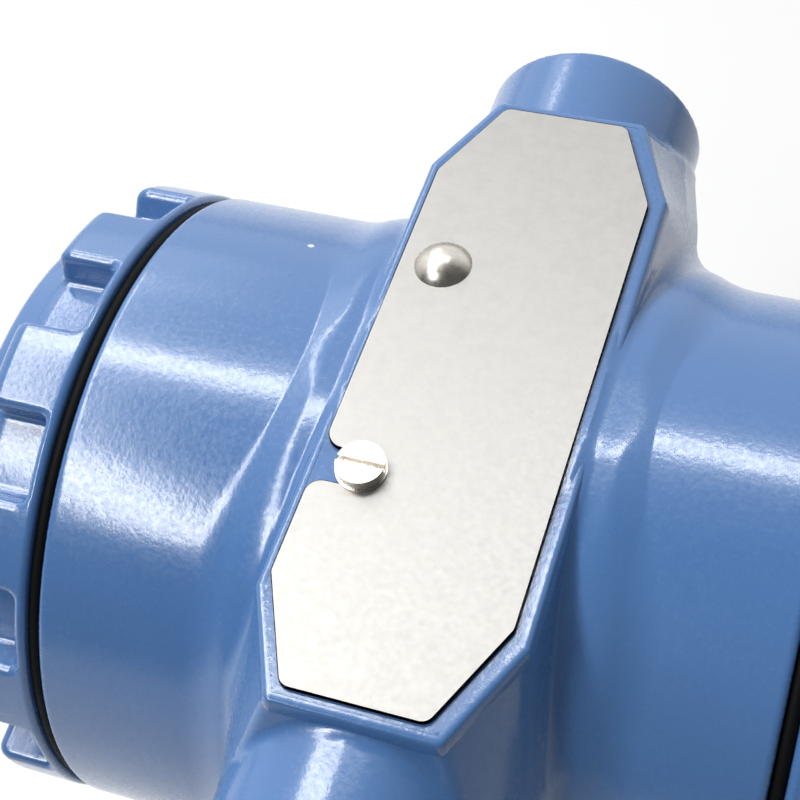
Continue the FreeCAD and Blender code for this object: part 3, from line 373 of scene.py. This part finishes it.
def housingOutside(x, y, z):
    c = case
    r = np.sqrt(y * y + z * z)
    low, half, blend = ringSpan(y, z)
    soft = np.clip(low * 2 - 0.5, 0, 1) * 1.7
    past = np.abs(x - c["ringShift"]) - half
    fade = (softRamp(past, c["crestEdge"] + soft) - softRamp(past - blend, c["footEdge"] + soft)) / blend
    rise = (c["crestRise"] + (c["ringRise"] - c["crestRise"]) * low) * (1 - fade)
    barrel = shared(r - c["shell"] - rise, np.maximum(x - c["right"], -c["left"] - x), c["edge"])
    barrel = shared(barrel, z - c["crestTop"], 0.15)
    down = np.maximum(c["blockTop"] - z, 0)
    depth = c["blockTop"] - c["blockLow"]
    lowX = c["padX"] + c["slopeX"] * depth
    lowY = c["padY"] + c["slopeY"] * depth
    fall = c["blockLow"] - c["foot"]
    halfX = np.where(down < depth, c["padX"] + c["slopeX"] * down, lowX + (c["footX"] - lowX) * (down - depth) / fall)
    halfY = np.where(down < depth, c["padY"] + c["slopeY"] * down, lowY + (c["footY"] - lowY) * (down - depth) / fall)
    across = x - c["padShift"] * np.clip(z / 30, 0, 1)
    cutX = c["cutX"] - c["turn"] * np.minimum(down, c["turnDepth"])
    block = octagonField(across, y, halfX, halfY, cutX, c["cutY"]) * 0.9  # eased, as the sides slope
    rim = (octagonField(across, y, c["padX"], c["padY"], c["cutX"], c["cutY"]) + z - c["padTop"] + c["rim"]) / 1.414
    block = shared(block, np.maximum(np.maximum(rim, z - c["padTop"]), c["foot"] - z), 0.1)
    body = joined(barrel, block, 1.1 + 1.9 * np.clip((37 - z) / 12, 0, 1))
    boss = np.sqrt(x * x + (z - c["bossHeight"]) ** 2) - c["bossRadius"]
    boss = shared(boss, np.abs(y) - c["bossEnd"], c["edge"])
    body = joined(body, boss, c["bossFillet"])
    neck = np.sqrt(x * x + y * y) - c["neckRadius"]
    neck = shared(neck, np.maximum(z - c["neckStart"], -c["neckEnd"] - z), c["edge"])
    body = joined(body, neck, c["neckFillet"])
    ground = np.sqrt((x - c["groundX"]) ** 2 + (z - c["groundZ"]) ** 2) - c["groundRadius"]
    ground = shared(ground, np.maximum(y - c["groundEnd"], c["groundStart"] - y), 0.6)
    return joined(body, ground, c["groundFillet"])


def housingField(x, y, z):
    c = case
    body = housingOutside(x, y, z)
    r = np.sqrt(y * y + z * z)
    leftRoom = np.maximum(np.minimum(np.maximum(r - c["cavity"], -c["beyond"] - x),
                                     np.maximum(r - c["thread"], x + c["left"] - c["threadDepth"])),
                          x + c["wallLeft"])
    rightRoom = np.maximum(np.minimum(np.maximum(r - c["cavity"], x - c["beyond"]),
                                      np.maximum(r - c["thread"], c["right"] - c["threadDepth"] - x)),
                           c["wallRight"] - x)
    body = without(body, leftRoom, 0.3)
    body = without(body, rightRoom, 0.3)
    bore = np.maximum(np.sqrt(x * x + (z - c["bossHeight"]) ** 2) - c["bore"],
                      c["bossEnd"] - c["boreDepth"] - np.abs(y))
    way = np.maximum(np.sqrt((x - c["wayX"]) ** 2 + (z - c["bossHeight"]) ** 2) - c["wayRadius"],
                     np.maximum(c["bossEnd"] - 2 * c["boreDepth"] - np.abs(y), np.abs(y) - c["wayEnd"]))
    body = without(body, bore, 0.5)
    body = without(body, way, 0.2)
    neck = np.maximum(np.sqrt(x * x + y * y) - c["neckBore"], z + c["neckTop"])
    slotRoom = np.maximum(np.maximum(np.abs(x - c["slotX"]) - c["slotHalfX"], np.abs(y) - c["slotHalfY"]),
                          np.maximum(z - c["slotTop"], c["slotLow"] - z))
    body = without(body, neck, 0.3)
    body = without(body, slotRoom, 0.2)
    for buttonY in c["buttonsY"]:
        button = np.sqrt((x - c["buttonX"]) ** 2 + (y - buttonY) ** 2) - c["buttonRadius"]
        body = without(body, np.maximum(button, c["buttonFloor"] - z), 0.15)
    lock = np.sqrt((x - c["lock"][0]) ** 2 + (y - c["lock"][1]) ** 2) - c["lockRadius"]
    return without(body, np.maximum(lock, c["lockFloor"] - z), 0.1)


def gridLine(low, high, step, fine=()):
    marks = [low]
    while marks[-1] < high:
        size = min([step] + [span[2] for span in fine if span[0] <= marks[-1] < span[1]])
        marks.append(marks[-1] + size)
    return np.array(marks)


coarse = 1.0
edges = [case["ringShift"] + side * reach for side in (-1, 1)
         for reach in (case["crestHalf"], case["crestHalf"] + case["crestBlend"])]
edgeRows = np.sort([edge + shift for edge in edges for shift in (-0.8, -0.35, -0.1, 0.1, 0.35, 0.8)])
spans = [(-42.6, -40.8, 0.4), (-40, -31, 1.6), (-29.6, -21, 0.9), (-17.6, -17, 0.6), (-14.8, -13.7, 0.22),
         (-13.2, -8, 0.65), (-7.3, 7.3, 0.95), (8, 13.5, 0.65), (14.1, 15.6, 0.45), (18.2, 18.9, 0.6),
         (21.7, 26.5, 0.9), (27.8, 35.8, 1.6), (37, 39, 0.4)]  # low, high and step along the cover axis
rows = [gridLine(low, high, step * coarse) for low, high, step in spans] + [edgeRows]
housingAxes = [np.unique(np.concatenate(rows)),
               gridLine(-54.1, 54.1, 0.95 * coarse, [(-42.5, -28, 0.55), (28, 42.5, 0.55)]),
               gridLine(-53.3, 41.5, 0.95 * coarse, [(30, 38, 0.7), (38, 41, 0.35)])]
points, faces, normals = netSurface(housingField, housingAxes, ringPlace)
upper = points[faces][:, :, 2].mean(1) > 22
for name, chosen in (("housing_casting", faces[upper]), ("housing_casting_lower", faces[~upper])):
    used, local = np.unique(chosen, return_inverse=True)
    local = local.reshape(chosen.shape)
    piece = addMesh(name, points[used], local, "housing", looks["blue_paint"], normals[used])
    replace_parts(piece, "housing")
    print(name, len(used), "points", 2 * len(local), "triangles")


# nameplate pad's rim and the nameplate, lofted along rounded outlines
def roundedLoop(corners, reach=0.0, count=7):  # corners (x, y, radius) in order, straight runs cut at `reach`
    made = []
    for k, (x, y, radius) in enumerate(corners):
        spot = np.array([x, y], float)
        before = np.array(corners[k - 1][:2], float) - spot
        after = np.array(corners[(k + 1) % len(corners)][:2], float) - spot
        before, after = before / np.linalg.norm(before), after / np.linalg.norm(after)
        half = math.acos(float(np.clip(before @ after, -1, 1))) / 2
        middle = spot + (before + after) / np.linalg.norm(before + after) * radius / math.sin(half)
        start = spot + before * radius / math.tan(half) - middle
        end = spot + after * radius / math.tan(half) - middle
        for share in np.linspace(0, 1, count):
            arm = start * (1 - share) + end * share
            made.append(middle + arm / np.linalg.norm(arm) * radius)
    if reach:
        full = []
        for k, spot in enumerate(made):
            following = made[(k + 1) % len(made)]
            parts = max(1, round(float(np.linalg.norm(following - spot)) / reach))
            full += [spot + (following - spot) * share / parts for share in range(parts)]
        made = full
    return np.array(made)


def outward(loop):  # unit normals of a loop that runs anticlockwise
    along = np.roll(loop, -1, axis=0) - np.roll(loop, 1, axis=0)
    across = np.stack([along[:, 1], -along[:, 0]], axis=1)
    return across / np.linalg.norm(across, axis=1)[:, None]


def octagonCorners(halfX, halfY, cutX, cutY, radius, shift=0.0):
    return [(x + shift, y, radius) for x, y in ((halfX, -halfY + cutY), (halfX, halfY - cutY), (halfX - cutX, halfY),
                                                (cutX - halfX, halfY), (-halfX, halfY - cutY), (-halfX, cutY - halfY),
                                                (cutX - halfX, -halfY), (halfX - cutX, -halfY))]


def loft(loop, profile, waviness=0.0):  # profile rows: offset, height, tilt of the normal in degrees
    side = outward(loop)
    count = len(loop)
    wave = np.zeros(count)
    if waviness:
        wave = rng.normal(0, waviness, count)
        wave = (wave + np.roll(wave, 1) + np.roll(wave, -1)) / 2
    points, normals = [], []
    for offset, height, tilt in profile:
        flat = loop + side * (offset + wave * math.sin(math.radians(tilt)))[:, None]
        points.append(np.column_stack([flat, np.full(count, height)]))
        lean = math.radians(tilt)
        normals.append(np.column_stack([side * math.sin(lean), np.full(count, math.cos(lean))]))
    here = np.arange(count)
    there = (here + 1) % count
    faces = [np.stack([here + k * count, here + (k + 1) * count, there + (k + 1) * count, there + k * count], axis=1)
             for k in range(len(profile) - 1)]
    return np.concatenate(points), np.concatenate(faces), np.concatenate(normals)


rimLook = dict(halfX=13.9, halfY=40.35, corner=0.9, wave=0.025, reach=0.7, profile=[
    (-0.86, 39.9, 0), (-0.66, 39.895, 3), (-0.42, 39.87, 9), (-0.2, 39.81, 24), (-0.03, 39.7, 45),
    (0.08, 39.52, 64), (0.24, 39.2, 70), (0.38, 38.7, 78), (0.45, 38.3, 80), (0.1, 38.1, 80)])
rimLoop = roundedLoop(octagonCorners(rimLook["halfX"], rimLook["halfY"], case["cutX"], case["cutY"],
                                     rimLook["corner"], case["padShift"]), rimLook["reach"])
points, faces, normals = loft(rimLoop, rimLook["profile"], rimLook["wave"])
addMesh("pad_rim", points, faces, "housing", looks["blue_paint"], normals)

plate = dict(halfX=12.5, halfY=38.9, corner=1.4, base=39.92, top=40.52, bevel=0.11, notch=2.05, mouthHigh=2.1,
             mouthLow=1.8, lock=case["lock"], pivot=(-7.5, 13.8), pivotHole=1.65)
outline = octagonCorners(plate["halfX"], plate["halfY"], case["cutX"], case["cutY"], plate["corner"])
lockX, lockY = plate["lock"]
notchHigh, notchLow = lockY + plate["notch"], lockY - plate["notch"]
notchEnd, notchRadius = lockX + plate["notch"], plate["notch"] - 0.01
outline[5:5] = [(-plate["halfX"], notchHigh, plate["mouthHigh"]), (notchEnd, notchHigh, notchRadius),
                (notchEnd, notchLow, notchRadius), (-plate["halfX"], notchLow, plate["mouthLow"])]
plateLoop = roundedLoop(outline, 0, 12)
angles = -np.arange(40) * 2 * math.pi / 40
holeLoop = np.stack([np.cos(angles), np.sin(angles)], axis=1) * plate["pivotHole"] + np.array(plate["pivot"])
bevel = plate["bevel"]
edge = [(-bevel, plate["base"], 180), (0, plate["base"] + bevel, 90), (0, plate["top"] - bevel, 90),
        (-0.03, plate["top"] - 0.03, 45), (-bevel, plate["top"], 0)]
sides = [loft(loop, edge) for loop in (plateLoop, holeLoop)]
shift = len(sides[0][0])
points = [sides[0][0], sides[1][0]]
normals = [sides[0][2], sides[1][2]]
faces = [tuple(face) for face in sides[0][1]] + [tuple(face + shift) for face in sides[1][1]]
ends = [np.arange(len(plateLoop)), np.arange(len(holeLoop)) + shift]
for level, flip in ((4, False), (0, True)):
    rings = [ends[0] + level * len(plateLoop), ends[1] + level * len(holeLoop)]
    stock = np.concatenate(points)
    flat = [[Vector((*stock[k][:2], 0)) for k in ring] for ring in rings]
    order = np.concatenate(rings)
    for three in tessellate_polygon(flat):
        a, b, c = (order[k] for k in three)
        turned = np.cross(stock[b] - stock[a], stock[c] - stock[a])[2] > 0
        faces.append((a, b, c) if turned != flip else (a, c, b))
platePiece = addMesh("name_plate", np.concatenate(points), faces, "nameplate", looks["plate_steel"],
                     np.concatenate(normals))
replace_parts(platePiece, "nameplate")
print("pad and plate made")

# covers: notched caps, in one field that both share
cap = dict(radius=39.5, gap=1.6, rim=11.1, lugEdge=0.9, frontEdge=1.9, front=15.5,
           crown=19.0, crownRadius=27.0, crownBack=8, crownSlope=0.35, crownEdge=1.2,
           skirt=34.9, skirtFront=33.4, skirtEdge=1.4, wall=4.0,
           spigot=11.0, spigotRadius=35.94, spigotBore=31.4, threadPitch=1.6, threadDepth=0.45, threadStart=0.2,
           notchStart=3.2, notchWidth=10.0, notchEdge=1.1, floor=34.9, count=12, turn=math.radians(1.9))


def capField(x, y, z, side, length):
    c = cap
    s = x * side - length
    r = np.sqrt(y * y + z * z)
    phi = np.arctan2(y, z) - c["turn"]
    pitch = 2 * math.pi / c["count"]
    off = (phi + pitch / 2) % pitch - pitch / 2
    lug = shared(shared(r - c["radius"], c["gap"] - s, c["lugEdge"]), s - c["rim"], c["frontEdge"])
    across = np.abs(off) * r - c["notchWidth"] / 2 * r / c["radius"]
    notch = shared(shared(c["floor"] - r, c["notchStart"] - s, c["lugEdge"]), across, c["lugEdge"])
    lug = without(lug, notch, c["notchEdge"])
    slope = (c["skirt"] - c["skirtFront"]) / (c["front"] - c["rim"])
    skirt = r - c["skirt"] + slope * np.maximum(s - c["rim"], 0)
    skirt = shared(skirt, np.maximum(s - c["front"], c["gap"] - s), c["skirtEdge"])
    body = joined(lug, skirt, 0.5)
    crown = r - c["crownRadius"] + np.maximum(s - c["front"], 0) * c["crownSlope"]
    crown = shared(crown, s - c["crown"], c["crownEdge"])
    crown = np.maximum(crown, c["crownBack"] - s)
    body = joined(body, crown, 1.0)
    spigot = np.maximum(r - c["spigotRadius"], np.maximum(-c["spigot"] - s, s - c["wall"]))
    groove = c["threadDepth"] * np.abs((s * side / c["threadPitch"] + phi / (2 * math.pi)) % 1 - 0.5) * 2
    spigot = np.maximum(spigot, r - c["spigotRadius"] + np.where(s < c["threadStart"], groove, 0))
    body = np.minimum(body, spigot)
    room = np.maximum(r - c["spigotBore"], s - (c["front"] - c["wall"]))
    return without(body, room, 0.6)


def makeCover(name, body, side, length):
    def field(x, y, z):
        return capField(x, y, z, side, length)

    def place(s, r, phi):
        return (s + length) * side, r * np.sin(phi), r * np.cos(phi)
    turns = int(300 / coarse)
    step = 2 * math.pi / turns
    along = gridLine(-11.7, 20.0, 0.62 * coarse)
    out = np.concatenate([[0.02, 0.1, 0.6], gridLine(1.6, 24, 1.6), gridLine(24.6, 40.4, 0.55 * coarse)])
    ring = np.arange(turns + 1) * step
    points, faces, normals = netSurface(field, [along, out, ring], place, True)
    if side > 0:
        faces = faces[:, ::-1]
    faces = faces.tolist()
    middle = np.hypot(points[:, 1], points[:, 2]) < 0.2
    for front in (True, False):  # closes both ends at the axis, where the round grid leaves a pinhole
        loop = np.flatnonzero(middle & ((points[:, 0] * side - length > 15) == front))
        loop = loop[np.argsort(np.arctan2(points[loop, 1], points[loop, 2]))]
        faces.append((loop[::-1] if front == (side > 0) else loop).tolist())
    piece = addMesh(name, points, faces, body, looks["blue_paint"], normals)
    print(name, len(points), "points", 2 * len(faces), "triangles")
    return piece


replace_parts(makeCover("terminal_cap", "terminal_cover", -1, case["left"]), "terminal_cover")
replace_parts(makeCover("circuit_cap", "circuit_cover", 1, case["right"]), "circuit_cover")

# stage, camera and lights
floorLook = dict(size=24, gap=0.0005, low=0.72, high=0.76, patch=3, rough=0.6)
floorMaterial, floorTree, floorShader = makeMaterial("paleFloor")
floorPatch = noise(floorTree, objectCoords(floorTree), floorLook["patch"], 2.0)
floorTone = ramp(floorTree, floorPatch, [(0.3, grey(floorLook["low"])), (0.7, grey(floorLook["high"]))])
floorTree.links.new(floorTone, floorShader.inputs["Base Color"])
floorShader.inputs["Roughness"].default_value = floorLook["rough"]
bpy.ops.mesh.primitive_plane_add(size=floorLook["size"], location=(0, 0, cadLow.z - floorLook["gap"]))
floor = bpy.context.object
floor.name = "floor"
floor.data.materials.append(floorMaterial)

view = dict(centre=(37.144, -92.917, 317.3), lens=71.9162, right=(0.945038, 0.310684, -0.101876),
            up=(-0.198246, 0.792257, 0.577086), back=(0.260003, -0.525171, 0.810305))
cameraData = bpy.data.cameras.new("camera")
cameraData.sensor_width = 36
cameraData.lens = view["lens"]
cameraData.clip_start = 0.01
cameraData.clip_end = 30
camera = bpy.data.objects.new("camera", cameraData)
bpy.context.scene.collection.objects.link(camera)
turn = Matrix((view["right"], view["up"], view["back"])).transposed()
camera.matrix_world = Matrix.Translation(Vector(view["centre"]) / 1000) @ turn.to_4x4()
bpy.context.scene.camera = camera

world = bpy.data.worlds.new("studio")  # pale room, brighter behind the object
bpy.context.scene.world = world
world.use_nodes = True
worldTree = world.node_tree
room = dict(front=0.1, back=1.05, start=-0.1, end=0.65, lean=0.4)
facing = addNode(worldTree, "SeparateXYZ", Vector=addNode(worldTree, "TexCoord").outputs["Generated"])
side = maths(worldTree, "MULTIPLY", facing.outputs["X"], -room["lean"])
place = maths(worldTree, "ADD", facing.outputs["Y"], side)
level = spread(worldTree, place, room["start"], room["end"], room["front"], room["back"])
backdrop = worldTree.nodes["Background"]
worldTree.links.new(level, backdrop.inputs["Strength"])
backdrop.inputs["Color"].default_value = (1, 1, 1, 1)

lampHeight = 1.18
lamps = {
    "leftStrip": dict(centre=(-0.42, 0.285), along=(1, 0.05), size=(0.36, 0.15), radiance=13),
    "rightStrip": dict(centre=(-0.03, 0.48), along=(1, 0.05), size=(0.27, 0.16), radiance=13.5),
    "sideLight": dict(centre=(-0.65, 0.04), along=(0.05, -1), size=(0.8, 0.17), radiance=11),
    "farLight": dict(centre=(-0.795, 0.9), along=(-0.23, 0.97), size=(0.92, 0.1), radiance=11),
    "lowLight": dict(centre=(-0.6, -0.71), along=(0.2, -0.98), size=(0.66, 0.24), radiance=15),
    "backLight": dict(centre=(-1.2, 1.8), along=(-0.3, 0.95), size=(1.8, 0.7), radiance=0.8),
}
for lampName, lamp in lamps.items():  # soft panels lying level over the object, facing down
    data = bpy.data.lights.new(lampName, "AREA")
    data.shape = "RECTANGLE"
    data.size, data.size_y = lamp["size"]
    data.energy = lamp["radiance"] * lamp["size"][0] * lamp["size"][1] * 4
    light = bpy.data.objects.new(lampName, data)
    light.location = (*lamp["centre"], lampHeight)
    light.rotation_euler = (0, 0, math.atan2(lamp["along"][1], lamp["along"][0]))
    bpy.context.scene.collection.objects.link(light)
bpy.context.scene.view_settings.view_transform = "Standard"

print("scene ready")
